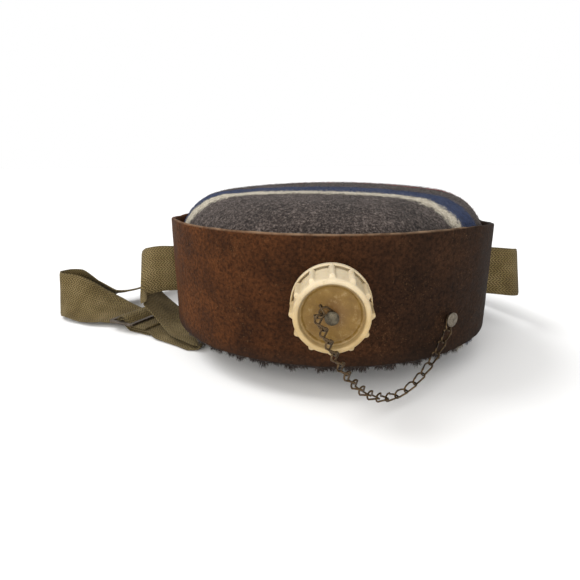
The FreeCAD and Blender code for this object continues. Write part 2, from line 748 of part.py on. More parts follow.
LEFT_FOLD = at((-147, 2, 25, 0, 1, 0.05), (-152, 3, 33, -0.3, 0.9, 0.3),
               (-155, 4, 41, -0.2, 0.75, 0.65), (-150, 5, 46, -0.12, 0.4, 0.9),
               (-140, 7, 48, -0.05, 0.1, 1), (-129, 9, 48, 0, 0, 1))
RIGHT_LOOP = at((126, 10.2, 48, 0, 0, 1), (137, 8.6, 47.5, -0.04, 0, 1),
                (147, 9.6, 46.6, -0.12, 0, 1), (153, 15, 45.5, -0.16, 0, 1),
                (155, 25, 43.5, -0.14, 0.04, 1), (152, 38, 40, -0.1, 0.05, 1),
                (146, 60, 34, -0.06, 0.05, 1), (136, 86, 27.5, 0, 0, 1),
                (121, 110, 22.5, 0, 0, 1), (100, 132, 20, 0, 0, 1))
BEHIND = at((70, 148, 19.4, 0, 0, 1), (30, 157, 19.4, 0, 0, 1), (-15, 156, 19.4, 0, 0, 1),
            (-52, 151, 19.4, 0, 0, 1), (-74, 152, 19.4, 0, 0, 1), (-85, 159, 19.4, 0, 0, 1),
            (-86, 169, 19.4, 0, 0, 1), (-76, 177, 19.4, 0, 0, 1), (-50, 180, 19.4, 0, 0, 1),
            (-10, 185, 19.4, 0, 0, 1), (30, 186, 19.4, 0, 0, 1), (52, 189, 19.4, 0, 0, 1),
            (62, 197, 19.4, 0, 0, 1), (60, 207, 19.4, 0, 0, 1), (48, 213, 19.4, 0, 0, 1),
            (10, 214, 19.4, 0, 0, 1), (-40, 209, 19.4, 0, 0, 1), (-90, 192, 19.4, 0, 0, 1),
            (-128, 162, 19.4, 0, 0, 1), (-150, 128, 19.4, 0, 0, 1))
FAR_LEFT = at((-160, 112, 20.5, 0.05, -0.15, 0.98), (-167, 95, 19, 0.2, -0.5, 0.84),
              (-174, 79, 16.5, 0.35, -0.8, 0.48), (-181, 66, 15, 0.4, -0.88, 0.26),
              (-190, 56, 14.5, 0.4, -0.88, 0.26), (-200, 52, 14.5, 0.35, -0.86, 0.3),
              (-212, 50, 17.5, 0.15, -0.75, 0.62), (-224, 45, 20.5, 0, -0.35, 0.93),
              (-234, 37, 21, 0, -0.05, 1), (-239, 27.5, 21, 0, 0.05, 1),
              (-236, 19, 21, 0.05, 0.2, 0.97), (-226, 15.2, 21, 0.1, 0.45, 0.88),
              (-213, 13.2, 17.5, 0.05, 0.62, 0.78), (-200, 12.5, 13, 0.05, 0.85, 0.5),
              (-186, 13.5, 7.4, 0.3, 0.93, 0.15))
THREADED_END = at_slide([(-15, 4.4), (-11.5, 4.4), (-9.2, 4.9), (-7.2, 7.1), (-5, 9.8),
                         (-2.4, 11.5), (0.8, 11.75), (3.4, 10.9), (5.6, 8.9), (7.4, 6.6),
                         (9.4, 5.45), (13, 5.2), (19, 5.15), (25, 5.15)])


def strap_stations():
    cradle_run = list(cradle())
    return (SEWN_END + UNDER_RIM + LEFT_FOLD + slot_bend(-1) + cradle_run
            + slot_bend(1)[::-1] + RIGHT_LOOP + BEHIND + FAR_LEFT + THREADED_END)


def smoothed(stations, longest):
    """Catmull-Rom points through the stations, none further apart than the longest step."""
    ends = [stations[0]] + stations + [stations[-1]]
    result = [stations[0]]
    for (before, _), (start, across), (end, next_across), (after, _) in zip(
            ends, ends[1:], ends[2:], ends[3:]):
        steps = max(1, math.ceil((end - start).Length / longest))
        for step in range(1, steps + 1):
            t = step / steps
            spot = (start * 2 + (end - before) * t
                    + (before * 2 - start * 5 + end * 4 - after) * t ** 2
                    + (start * 3 - before - end * 3 + after) * t ** 3) * 0.5
            result.append((spot, (across * (1 - t) + next_across * t).normalize()))
    return result


def ribbon(stations, width, thickness):
    """A closed band of flat facets with a constant width and thickness."""
    rings = []
    for index, (spot, across) in enumerate(stations):
        ahead = stations[min(index + 1, len(stations) - 1)][0]
        behind = stations[max(index - 1, 0)][0]
        along = (ahead - behind).normalize()
        normal = along.cross(across)
        reach = across * (width / 2 / normal.Length)
        lift = normal.normalize() * (thickness / 2)
        rings.append([spot - reach - lift, spot + reach - lift, spot + reach + lift,
                      spot - reach + lift])
    faces = []

    def add(*corners):
        faces.append(Part.Face(Part.makePolygon(list(corners) + [corners[0]])))

    for first, second in zip(rings, rings[1:]):
        for n in range(4):
            m = (n + 1) % 4
            add(first[n], first[m], second[m])
            add(first[n], second[m], second[n])
    for ring in (rings[0], rings[-1]):
        add(ring[0], ring[1], ring[2])
        add(ring[0], ring[2], ring[3])
    solid = Part.Solid(Part.Shell(faces))
    if solid.Volume < 0:
        solid.reverse()
    return solid


STRAP_STEP = 8.0
strap_path = smoothed(strap_stations(), STRAP_STEP)
strap = doc.addObject("Part::Feature", "shoulder_strap")
strap.Shape = ribbon(strap_path, size("strap_width"), size("strap_thickness"))
keep(strap, "shoulder_strap")
strap_length = sum((b[0] - a[0]).Length for a, b in zip(strap_path, strap_path[1:]))
print(f"strap length {strap_length:.1f} mm, volume {strap.Shape.Volume:.0f} mm3, "
      f"section times length {strap_length * size('strap_width * strap_thickness'):.0f} mm3")


# ---------------------------------------------------------------- checks and files
def check_and_write():
    for thing in doc.Objects:
        if "Invalid" in thing.State or "Error" in thing.State:
            raise RuntimeError(f"{thing.Label} failed: {thing.State}")
    for thing in parts:
        if thing.Shape.isNull() or not thing.Shape.isValid():
            raise RuntimeError(f"{thing.Label} has a bad shape")
    os.makedirs("parts", exist_ok=True)
    print(f"{len(parts)} pieces, flask holds about "
          f"{(dish_capacity('front_crown') + dish_capacity('back_crown')) / 1e6:.2f} litres")
    for thing in parts:
        thing.Shape.exportStep(f"parts/{thing.Label}.step")


check_and_write()
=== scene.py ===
import math
import random

import bpy
import numpy as np
from mathutils import Matrix, Vector, noise


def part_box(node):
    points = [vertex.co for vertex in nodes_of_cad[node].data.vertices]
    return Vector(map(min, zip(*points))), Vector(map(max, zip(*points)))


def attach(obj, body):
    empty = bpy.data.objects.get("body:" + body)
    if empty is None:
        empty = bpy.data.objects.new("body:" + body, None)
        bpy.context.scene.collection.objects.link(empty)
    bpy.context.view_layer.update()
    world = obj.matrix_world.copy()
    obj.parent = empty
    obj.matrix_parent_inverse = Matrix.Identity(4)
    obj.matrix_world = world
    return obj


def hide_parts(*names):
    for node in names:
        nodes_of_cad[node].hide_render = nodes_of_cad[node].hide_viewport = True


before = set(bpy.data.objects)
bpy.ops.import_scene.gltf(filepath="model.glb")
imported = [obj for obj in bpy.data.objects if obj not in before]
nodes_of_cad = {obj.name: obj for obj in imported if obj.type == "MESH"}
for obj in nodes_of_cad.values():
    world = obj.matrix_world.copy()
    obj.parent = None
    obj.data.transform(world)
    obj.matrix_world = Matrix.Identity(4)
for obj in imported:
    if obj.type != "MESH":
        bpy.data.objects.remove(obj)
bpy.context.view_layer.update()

MM = 0.001
random.seed(5)


# ---------------------------------------------------------------- meshes
def make_object(name, points, faces, material=None, uv=None):
    mesh = bpy.data.meshes.new(name)
    mesh.from_pydata([tuple(p) for p in points], [], faces)
    mesh.update()
    mesh.polygons.foreach_set("use_smooth", [True] * len(mesh.polygons))
    if uv is not None:
        layer = mesh.uv_layers.new(name="along")
        corners = np.empty(len(mesh.loops), np.int32)
        mesh.loops.foreach_get("vertex_index", corners)
        layer.data.foreach_set("uv", np.asarray(uv, np.float32)[corners].ravel())
    thing = bpy.data.objects.new(name, mesh)
    bpy.context.scene.collection.objects.link(thing)
    if material:
        mesh.materials.append(material)
    return thing


def grid_faces(rows, columns, wrap_rows=False, wrap_columns=True):
    faces = []
    for i in range(rows if wrap_rows else rows - 1):
        for j in range(columns if wrap_columns else columns - 1):
            a, b = i * columns + j, i * columns + (j + 1) % columns
            c, d = ((i + 1) % rows) * columns + (j + 1) % columns, ((i + 1) % rows) * columns + j
            faces.append((a, b, c, d))
    return faces


def baked(thing):
    """Applies every modifier of an object to its mesh."""
    view = bpy.context.evaluated_depsgraph_get()
    result = bpy.data.meshes.new_from_object(thing.evaluated_get(view))
    thing.modifiers.clear()
    thing.data = result
    return thing


def show(thing, slot_name, *replaced, body="canteen"):
    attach(thing, body)
    if replaced:
        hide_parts(*replaced)
    return thing


def smooth_step(low, high, value):
    share = min(1.0, max(0.0, (value - low) / (high - low)))
    return share * share * (3 - 2 * share)


def wobble(x, y, z, scale, seed=0.0):
    return noise.noise(Vector((x * scale + seed, y * scale - seed, z * scale + 2 * seed)))


# ---------------------------------------------------------------- materials
class Look:
    """Builds a procedural material node by node."""

    def __init__(self, name, roughness=0.6, metallic=0.0, coat=0.0, sheen=0.0, shine=0.5):
        self.material = bpy.data.materials.new(name)
        self.material.use_nodes = True
        self.tree = self.material.node_tree
        self.shader = self.tree.nodes["Principled BSDF"]
        self.shader.inputs["Roughness"].default_value = roughness
        self.shader.inputs["Metallic"].default_value = metallic
        self.shader.inputs["Coat Weight"].default_value = coat
        self.shader.inputs["Sheen Weight"].default_value = sheen
        self.shader.inputs["Specular IOR Level"].default_value = shine
        where = self.tree.nodes.new("ShaderNodeTexCoord")
        self.place = where.outputs["Object"]
        self.along = where.outputs["UV"]

    def feed(self, node, **inputs):
        for name, value in inputs.items():
            socket = node.inputs[name.replace("_", " ")]
            if isinstance(value, bpy.types.NodeSocket):
                self.tree.links.new(value, socket)
            else:
                socket.default_value = value
        return node

    def noise(self, scale, detail=4.0, roughness=0.55, distortion=0.0, stretch=None, at=None):
        at = at or self.place
        if stretch:
            node = self.tree.nodes.new("ShaderNodeMapping")
            node.inputs["Scale"].default_value = stretch
            self.tree.links.new(at, node.inputs["Vector"])
            at = node.outputs["Vector"]
        node = self.tree.nodes.new("ShaderNodeTexNoise")
        self.feed(node, Vector=at, Scale=scale, Detail=detail, Roughness=roughness,
                  Distortion=distortion)
        return node.outputs["Fac"]

    def ramp(self, factor, *stops):
        """Stops are (place, colour) pairs; a colour is a number or three of them."""
        node = self.tree.nodes.new("ShaderNodeValToRGB")
        ramp = node.color_ramp
        while len(ramp.elements) < len(stops):
            ramp.elements.new(0.5)
        for element, (spot, colour) in zip(ramp.elements, stops):
            element.position = spot
            shade = (colour,) * 3 if isinstance(colour, (int, float)) else tuple(colour)
            element.color = (*shade, 1.0)
        self.tree.links.new(factor, node.inputs["Fac"])
        return node.outputs["Color"]

    def mix(self, factor, first, second, blend="MIX"):
        node = self.tree.nodes.new("ShaderNodeMix")
        node.data_type = "RGBA"
        node.blend_type = blend
        for number, value in ((0, factor), (6, first), (7, second)):
            if isinstance(value, bpy.types.NodeSocket):
                self.tree.links.new(value, node.inputs[number])
            else:
                node.inputs[number].default_value = value if number == 0 else (*value, 1.0)
        return node.outputs[2]

    def sum(self, operation, first, second=0.0, third=0.0):
        node = self.tree.nodes.new("ShaderNodeMath")
        node.operation = operation
        for socket, value in zip(node.inputs, (first, second, third)):
            if isinstance(value, bpy.types.NodeSocket):
                self.tree.links.new(value, socket)
            else:
                socket.default_value = value
        return node.outputs[0]

    def axis(self, name, of=None):
        node = self.tree.nodes.new("ShaderNodeSeparateXYZ")
        self.tree.links.new(of or self.place, node.inputs[0])
        return node.outputs[name]

    def band(self, value, centre, half, soft):
        """1 inside a stripe and 0 outside it, with soft edges."""
        away = self.sum("ABSOLUTE", self.sum("SUBTRACT", value, centre))
        return self.sum("SMOOTH_MIN", self.sum("MULTIPLY_ADD", away, -1 / soft, half / soft + 0.5),
                        1.0, 0.2)

    def bump(self, height, distance, strength=1.0, after=None):
        node = self.tree.nodes.new("ShaderNodeBump")
        self.feed(node, Height=height, Distance=distance, Strength=strength)
        if after:
            self.tree.links.new(after, node.inputs["Normal"])
        return node.outputs["Normal"]

    def done(self, colour, normal=None, roughness=None):
        self.tree.links.new(colour, self.shader.inputs["Base Color"])
        if normal:
            self.tree.links.new(normal, self.shader.inputs["Normal"])
        if roughness:
            self.tree.links.new(roughness, self.shader.inputs["Roughness"])
        return self.material


def leather_look():
    look = Look("band_leather", shine=0.05)
    x, z = look.axis("X"), look.axis("Z")
    patches = look.noise(30, 6, 0.65)
    fine = look.noise(1100, 3, 0.7)
    grain = look.noise(520, 4, 0.65)
    # painted light and shade: redder and paler towards -X, the side the key light falls on, near
    # black-brown towards +X, the side in shade
    side = look.ramp(look.sum("MULTIPLY_ADD", x, 4.2, 0.5), (0.0, (0.068, 0.024, 0.0075)),
                     (0.32, (0.044, 0.0155, 0.0052)), (0.7, (0.022, 0.0100, 0.0050)),
                     (1.0, (0.015, 0.0078, 0.0045)))
    shade = look.ramp(patches, (0.30, 0.45), (0.50, 0.95), (0.72, 1.55))
    colour = look.mix(1.0, side, shade, "MULTIPLY")
    pores = look.ramp(grain, (0.36, 0.40), (0.52, 1.0), (0.68, 1.45))
    colour = look.mix(0.85, colour, look.mix(1.0, colour, pores, "MULTIPLY"))
    speckle = look.ramp(fine, (0.60, 0.0), (0.70, 1.0))
    worn = look.ramp(look.noise(48, 6, 0.75), (0.44, 0.05), (0.66, 1.0))
    colour = look.mix(look.sum("MULTIPLY", look.sum("MULTIPLY", speckle, worn), 0.65),
                      colour, (0.20, 0.115, 0.052))
    # a thin rubbed line along the upper edge
    edge_wear = look.ramp(look.sum("MULTIPLY_ADD", z, 1000.0, -96.2), (0.0, 0.0), (1.0, 1.0))
    edge_break = look.ramp(look.noise(150, 4, 0.7), (0.35, 0.25), (0.65, 1.0))
    colour = look.mix(look.sum("MULTIPLY", look.sum("MULTIPLY", edge_wear, edge_break), 0.75),
                      colour, (0.22, 0.145, 0.09))
    # painted shade: the band darkens towards its lower edge, near the floor where shade falls
    painted_low_shade = look.ramp(look.sum("MULTIPLY_ADD", z, -120.0, 3.6), (0.0, 0.0), (1.0, 1.0))
    colour = look.mix(look.sum("MULTIPLY", painted_low_shade, 0.6), colour, (0.012, 0.008, 0.006))
    scratches = look.noise(60, 4, 0.7, stretch=(1, 1, 9))
    normal = look.bump(grain, 0.0007, 0.6)
    normal = look.bump(scratches, 0.0012, 0.35, normal)
    normal = look.bump(patches, 0.004, 0.4, normal)
    rough = look.ramp(patches, (0.3, 0.62), (0.7, 0.88))
    return look.done(colour, normal, rough)


CREAM_LINE = (-0.0540, -0.125)  # where a stripe crosses X = 0, and its slope across X
NAVY_LINE = (-0.0385, -0.150)
RED_LINE = (0.0330, -0.330)
STRIPE_BOW = 1.3                # per metre: how much faster they come forward at +X


def wool_look():
    look = Look("wool_cloth", roughness=0.95, sheen=0.06, shine=0.1)
    x, y = look.axis("X"), look.axis("Y")
    fine = look.noise(850, 4, 0.75, 0.6)
    strands = look.noise(260, 4, 0.7, 1.2, stretch=(1, 2.2, 1))
    fibre = look.sum("MULTIPLY_ADD", fine, 0.6, look.sum("MULTIPLY", strands, 0.4))
    ground = look.ramp(fibre, (0.38, (0.006, 0.0045, 0.004)), (0.50, (0.038, 0.029, 0.026)),
                       (0.63, (0.175, 0.142, 0.125)))
    clouds = look.ramp(look.noise(34, 3), (0.3, 0.65), (0.7, 1.25))
    ground = look.mix(1.0, ground, clouds, "MULTIPLY")
    ragged = look.sum("MULTIPLY_ADD", look.noise(300, 4, 0.75), 0.016, -0.008)

    right = look.sum("MAXIMUM", x, 0.0)

    def stripe(line, half, soft, dark, light, cloth):
        level = look.sum("MULTIPLY_ADD", x, -line[1], look.sum("ADD", y, ragged))
        level = look.sum("MULTIPLY_ADD", look.sum("MULTIPLY", right, right), STRIPE_BOW, level)
        inside = look.band(level, line[0], half, soft)
        thread = look.ramp(fibre, (0.38, dark), (0.62, light))
        return look.mix(look.ramp(inside, (0.05, 0.0), (0.75, 1.0)), cloth, thread)

    cloth = stripe(CREAM_LINE, 0.0072, 0.007, (0.20, 0.17, 0.12), (0.66, 0.61, 0.50), ground)
    cloth = stripe(NAVY_LINE, 0.0115, 0.006, (0.003, 0.006, 0.020), (0.022, 0.040, 0.110), cloth)
    cloth = stripe(RED_LINE, 0.004, 0.004, (0.10, 0.01, 0.012), (0.42, 0.07, 0.07), cloth)
    # painted shade: the cloth darkens towards the bottom, under the band, where the canteen's own shade
    # falls; this also darkens the hanging tufts
    under = look.ramp(look.sum("MULTIPLY_ADD", look.axis("Z"), 20.0, 0.1), (0.3, 1.0), (0.8, 0.0))
    cloth = look.mix(look.sum("MULTIPLY", under, 0.75), cloth, (0.018, 0.013, 0.010))
    normal = look.bump(fibre, 0.0022, 0.9)
    normal = look.bump(look.noise(120, 3), 0.003, 0.4, normal)
    return look.done(cloth, normal)


def webbing_look():
    look = Look("webbing", roughness=0.9, sheen=0.03, shine=0.12)
    u, v = look.axis("X", look.along), look.axis("Y", look.along)
    # uv is in metres: rows of diagonal twill, 2.4 mm apart, turning at every 3 mm of width
    tooth = look.sum("PINGPONG", v, 0.0030)
    rows = look.sum("ADD", u, look.sum("MULTIPLY", tooth, 1.1))
    twill = look.sum("SINE", look.sum("MULTIPLY", rows, 2 * math.pi / 0.0024))
    threads = look.sum("SINE", look.sum("MULTIPLY", v, 2 * math.pi / 0.0017))
    weave = look.sum("MULTIPLY_ADD", twill, 0.30, look.sum("MULTIPLY_ADD", threads, 0.14, 0.5))
    soil = look.noise(38, 5, 0.65)
    colour = look.ramp(soil, (0.30, (0.070, 0.047, 0.018)), (0.50, (0.145, 0.105, 0.041)),
                       (0.72, (0.23, 0.172, 0.080)))
    colour = look.mix(look.ramp(weave, (0.20, 0.85), (0.70, 0.0)), colour, (0.022, 0.015, 0.006))
    edge = look.ramp(look.sum("ABSOLUTE", v), (0.0168, 0.0), (0.0186, 1.0))
    colour = look.mix(look.sum("MULTIPLY", edge, 0.45), colour, (0.09, 0.07, 0.035))
    normal = look.bump(weave, 0.0006, 0.9)
    normal = look.bump(look.noise(900, 2), 0.0004, 0.4, normal)
    return look.done(colour, normal)


def cap_look():
    look = Look("cap_plastic", roughness=0.45, coat=0.03, shine=0.2)
    look.shader.inputs["Subsurface Weight"].default_value = 0.12
    look.shader.inputs["Subsurface Radius"].default_value = (0.004, 0.0025, 0.001)
    x, y, z = (look.axis(name) for name in "XYZ")
    rise = look.sum("SUBTRACT", z, 0.063)
    away = look.sum("SQRT", look.sum("ADD", look.sum("MULTIPLY", x, x),
                                     look.sum("MULTIPLY", rise, rise)))
    ivory = look.ramp(look.noise(120, 4, 0.6), (0.3, (0.31, 0.215, 0.095)), (0.7, (0.42, 0.310, 0.155)))
    # painted highlight: whiter towards the upper side, where the light from above falls
    painted_top_light = look.ramp(look.sum("MULTIPLY_ADD", rise, 26.0, 0.5), (0.45, 0.0), (1.0, 0.60))
    ivory = look.mix(painted_top_light, ivory, (0.56, 0.50, 0.38))
    tan = look.ramp(look.noise(150, 5, 0.65), (0.3, (0.115, 0.062, 0.012)), (0.7, (0.185, 0.108, 0.024)))
    inside = look.sum("MULTIPLY", look.ramp(look.sum("MULTIPLY", away, 50.0), (0.74, 1.0), (0.84, 0.0)),
                      look.ramp(look.sum("MULTIPLY", y, -6.0), (0.83, 1.0), (0.86, 1.0)))
    colour = look.mix(inside, ivory, tan)
    stain = look.ramp(look.sum("MULTIPLY_ADD", look.noise(220, 4), 0.004, away),
                      (0.0050, 0.85), (0.0105, 0.0))
    colour = look.mix(look.sum("MULTIPLY", stain, 0.8), colour, (0.10, 0.045, 0.018))
    grime = look.ramp(look.noise(300, 5, 0.7), (0.55, 0.0), (0.72, 0.5))
    colour = look.mix(grime, colour, (0.30, 0.22, 0.12))
    normal = look.bump(look.noise(240, 4, 0.7), 0.0007, 0.35)
    normal = look.bump(look.noise(1300, 2), 0.0002, 0.25, normal)
    return look.done(colour, normal, look.ramp(look.noise(180, 4), (0.3, 0.30), (0.7, 0.55)))


def metal_look(name, dark, light, roughness=0.42, tarnish=(0.05, 0.03, 0.015), metallic=1.0):
    look = Look(name, roughness=roughness, metallic=metallic)
    cloud = look.noise(420, 5, 0.7)
    colour = look.ramp(cloud, (0.35, dark), (0.65, light))
    spots = look.ramp(look.noise(900, 4, 0.75), (0.52, 0.0), (0.68, 0.8))
    colour = look.mix(spots, colour, tarnish)
    normal = look.bump(look.noise(1500, 3, 0.7), 0.0002, 0.5)
    rough = look.ramp(cloud, (0.3, roughness - 0.12), (0.7, roughness + 0.18))
    return look.done(colour, normal, rough)


def rubber_look():
    look = Look("gasket_rubber", roughness=0.75)
    colour = look.ramp(look.noise(400, 4), (0.3, (0.012, 0.012, 0.012)), (0.7, (0.035, 0.033, 0.03)))
    return look.done(colour, look.bump(look.noise(1200, 3), 0.0002, 0.5))


LEATHER = leather_look()
WOOL = wool_look()
WEBBING = webbing_look()
CAP = cap_look()
RUBBER = rubber_look()
TINNED = metal_look("flask_steel", (0.34, 0.33, 0.31), (0.52, 0.51, 0.49), 0.45)
NECK = metal_look("neck_brass", (0.20, 0.16, 0.10), (0.36, 0.30, 0.19), 0.45)
BRASS = metal_look("chain_brass", (0.030, 0.020, 0.011), (0.12, 0.080, 0.043), 0.38)
RIVET = metal_look("rivet_steel", (0.09, 0.077, 0.058), (0.22, 0.19, 0.15), 0.44, (0.06, 0.032, 0.016))
STUD = metal_look("stud_metal", (0.05, 0.042, 0.030), (0.14, 0.12, 0.085), 0.46, (0.04, 0.024, 0.012))
SLIDE = metal_look("slide_steel", (0.030, 0.022, 0.016), (0.16, 0.13, 0.10), 0.40,
                   (0.02, 0.013, 0.009), 0.85)


def dress(node, material):
    thing = nodes_of_cad[node]
    thing.data.materials.clear()
    thing.data.materials.append(material)
    return thing


CARRIED = {"flask_front_half": TINNED, "flask_back_half": TINNED, "neck_tube": NECK,
           "cap_gasket": RUBBER, "cap_stud": STUD, "cap_stud_burr": STUD, "chain_rivet": RIVET,
           "chain_rivet_burr": RIVET, "band_joint_rivets": RIVET, "band_joint_burrs": RIVET,
           "chain_end_ring": BRASS}
CARRIED.update({f"chain_link_{number:02d}": BRASS for number in range(1, 21)})
for node, material in CARRIED.items():
    dress(node, material)

# ---------------------------------------------------------------- wool covers
MID_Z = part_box("wool_front_cover")[0].z
WALL_R = 0.1129
CROWN = {1: 0.0580, -1: 0.0595}      # front and back
SHOULDER = 0.037
CROWN_R = 0.700
CLOTH = 0.0026


def dome_point(up, share, inset=0.0):
    """Radius and height above the seam, from the crown's middle (0) to the seam (1)."""
    radius, crown = WALL_R - inset, CROWN[up] - inset
    shoulder, crown_r = SHOULDER - inset, CROWN_R - inset
    across = radius - shoulder
    low = crown - crown_r
    rise = low + math.sqrt((crown_r - shoulder) ** 2 - across ** 2)
    lean = math.atan2(rise - low, across)
    lengths = [crown_r * (math.pi / 2 - lean), shoulder * lean, rise]
    travelled = share * sum(lengths)
    if travelled <= lengths[0]:
        angle = math.pi / 2 - travelled / crown_r
        return crown_r * math.cos(angle), low + crown_r * math.sin(angle)
    travelled -= lengths[0]
    if travelled <= lengths[1]:
        angle = lean - travelled / shoulder
        return across + shoulder * math.cos(angle), rise + shoulder * math.sin(angle)
    return radius, rise - (travelled - lengths[1])


def wool_cover(name, up, rings=96, around=288):
    """Felted cloth over one dished face, with a soft lumpy outside and a flat strip closing the edge
    between its two layers.
    """
    points = []
    for inset in (0.0, CLOTH - 0.0001):
        for ring in range(rings + 1):
            share = max(ring / rings, 0.002)
            radius, height = dome_point(up, share, inset)
            before = dome_point(up, max(share - 0.01, 0), inset)
            after = dome_point(up, min(share + 0.01, 1), inset)
            slope = Vector((after[1] - before[1], 0, -(after[0] - before[0]))).normalized() * -1
            for step in range(around):
                angle = 2 * math.pi * step / around
                x, y = radius * math.cos(angle), radius * math.sin(angle)
                out = 0.0
                if inset == 0:
                    fade = min(1.0, (1 - share) * 8)
                    out = fade * (0.0006 * wobble(x, y, height, 22, up * 3.1)
                                  + 0.0004 * wobble(x, y, height, 90, up * 7.7)
                                  + 0.00022 * wobble(x, y, height, 420, up * 1.7))
                r = radius + slope.x * out
                z = height + slope.z * out
                if up < 0:
                    z = min(z, MID_Z - 0.00002)
                points.append((r * math.cos(angle), r * math.sin(angle), MID_Z + up * z))
    count = rings + 1
    faces = []
    for layer in (0, 1):
        start = layer * count * around
        for face in grid_faces(count, around):
            shifted = tuple(start + n for n in face)
            faces.append(shifted if (layer == 0) == (up > 0) else shifted[::-1])
    for step in range(around):
        after = (step + 1) % around
        a, b = (count - 1) * around + step, (count - 1) * around + after
        c, d = (2 * count - 1) * around + after, (2 * count - 1) * around + step
        faces.append((a, b, c, d) if up > 0 else (d, c, b, a))
    for layer in (0, 1):
        start = layer * count * around
        ring = tuple(range(start, start + around))
        faces.append(ring if (layer == 0) == (up > 0) else ring[::-1])
    return make_object(name, points, faces, WOOL)


def neck_cutter(radius):
    """A cylinder on the cap's axis, for cutting holes that the neck passes through."""
    bpy.ops.mesh.primitive_cylinder_add(vertices=96, radius=radius, depth=0.05)
    cutter = bpy.context.object
    cutter.matrix_world = (Matrix.Translation((0, -0.110, 0.063))
                           @ Matrix.Rotation(math.radians(90), 4, "X"))
    return cutter


def cut(thing, cutters):
    """Takes the cutters' shapes out of a mesh, then removes the cutters."""
    for cutter in cutters:
        modifier = thing.modifiers.new("hole", "BOOLEAN")
        modifier.operation = "DIFFERENCE"
        modifier.solver = "EXACT"
        modifier.object = cutter
    bpy.context.view_layer.update()
    baked(thing)
    for cutter in cutters:
        bpy.data.objects.remove(cutter)


for name, node, up, rests in (("wool_front", "wool_front_cover", 1, "flask_front_half"),
                              ("wool_back", "wool_back_cover", -1, "flask_back_half")):
    cover = wool_cover(name, up)
    cut(cover, [neck_cutter(0.0175)])
    show(cover, "wool_cloth", node)


def fuzz(name, up, count):
    """Loose wool fibres standing off the cloth as thin bent blades."""
    points, faces = [], []
    for _ in range(count):
        share = math.sqrt(random.random()) * 0.80
        angle = random.uniform(0, 2 * math.pi)
        radius, height = dome_point(up, share)
        nearby = dome_point(up, share + 0.01)
        away = Vector((radius * math.cos(angle), radius * math.sin(angle), 0)).normalized()
        normal = (away * (height - nearby[1]) + Vector((0, 0, nearby[0] - radius))).normalized()
        root = Vector((radius * math.cos(angle), radius * math.sin(angle), height)) - normal * 0.0003
        side = Vector((random.gauss(0, 1), random.gauss(0, 1), random.gauss(0, 1)))
        side = (side - normal * side.dot(normal)).normalized()
        length = random.uniform(0.0012, 0.0034)
        thick = side.cross(normal).normalized() * 0.00005
        middle = root + normal * length * 0.38 + side * length * 0.30
        tip = root + normal * length * random.uniform(0.3, 0.6) + side * length * 0.85
        first = len(points)
        for spot, width in ((root, 1.0), (middle, 0.8), (tip, 0.3)):
            for turn in (-1, 1):
                p = spot + thick * width * turn
                points.append((p.x, p.y, MID_Z + up * p.z))
        faces += [(first, first + 1, first + 3, first + 2),
                  (first + 2, first + 3, first + 5, first + 4)]
    return make_object(name, points, faces, WOOL)


show(fuzz("wool_front_fuzz", 1, 26000), "wool_cloth")


EDGE_TOP = 0.0215               # just above the band's lower edge


def ragged_edge(name, count):
    """The worn edge of the back cloth, hanging in dark tufts below the band's front."""
    points, faces = [], []
    for _ in range(count):
        angle = random.uniform(-1.3, 1.3)
        radius = random.uniform(0.1125, 0.1148)
        tuft = 0.5 + 0.5 * math.sin(23 * angle) * math.sin(61 * angle + 1)
        length = (0.0020 + 0.0055 * tuft) * random.uniform(0.6, 1.0)
        lean = random.gauss(0, 0.012)
        for share, width in ((0.0, 0.00022), (0.6, 0.00016), (1.0, 0.00005)):
            turned = angle + lean * share
            out = radius + 0.0008 * share
            for side in (-1, 1):
                spin = turned + side * width / out
                points.append((out * math.sin(spin), -out * math.cos(spin),
                               EDGE_TOP - length * share))
        first = len(points) - 6
        faces += [(first, first + 1, first + 3, first + 2),
                  (first + 2, first + 3, first + 5, first + 4)]
    return make_object(name, points, faces, WOOL)


show(ragged_edge("wool_back_fringe", 5200), "wool_cloth")


# ---------------------------------------------------------------- leather band
BAND_R = 0.118
BAND_T = 0.003
BAND_LOW, BAND_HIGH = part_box("leather_band")[0].z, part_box("leather_band")[1].z


def band_section(rows=56, corner=0.0011):
    """The strip's section as (radius, height): a long rectangle with rubbed corners."""
    inner, outer = BAND_R - BAND_T, BAND_R
    spots = []
    for side, radius in ((1, outer), (-1, inner)):
        heights = [BAND_LOW + corner + (BAND_HIGH - BAND_LOW - 2 * corner) * n / rows
                   for n in range(rows + 1)]
        spots += [(radius, z) for z in (heights if side > 0 else heights[::-1])]
        top = BAND_HIGH - corner if side > 0 else BAND_LOW + corner
        turns = [(math.cos(a), math.sin(a)) for a in np.linspace(0, math.pi, 7)[1:-1]]
        middle, half = (inner + outer) / 2, BAND_T / 2
        spots += [(middle + side * half * c, top + side * corner * s) for c, s in turns]
    return spots


RIM_DROP = 0.0065               # the upper edge is lower at the sides and the back
RIM_SLOPE = 0.087
RIM_LEAN = math.tan(math.radians(1.0))


def rim_drop(x, y, share):
    """How far the upper edge lies under the band's full height, fading out downwards."""
    drop = RIM_DROP + RIM_SLOPE * min(y, 0.0) + RIM_LEAN * x
    softened_drop = 0.5 * (drop + math.sqrt(drop * drop + 0.0012 ** 2))
    return max(0.0, softened_drop - 0.0001) * smooth_step(0.35, 1.0, share)


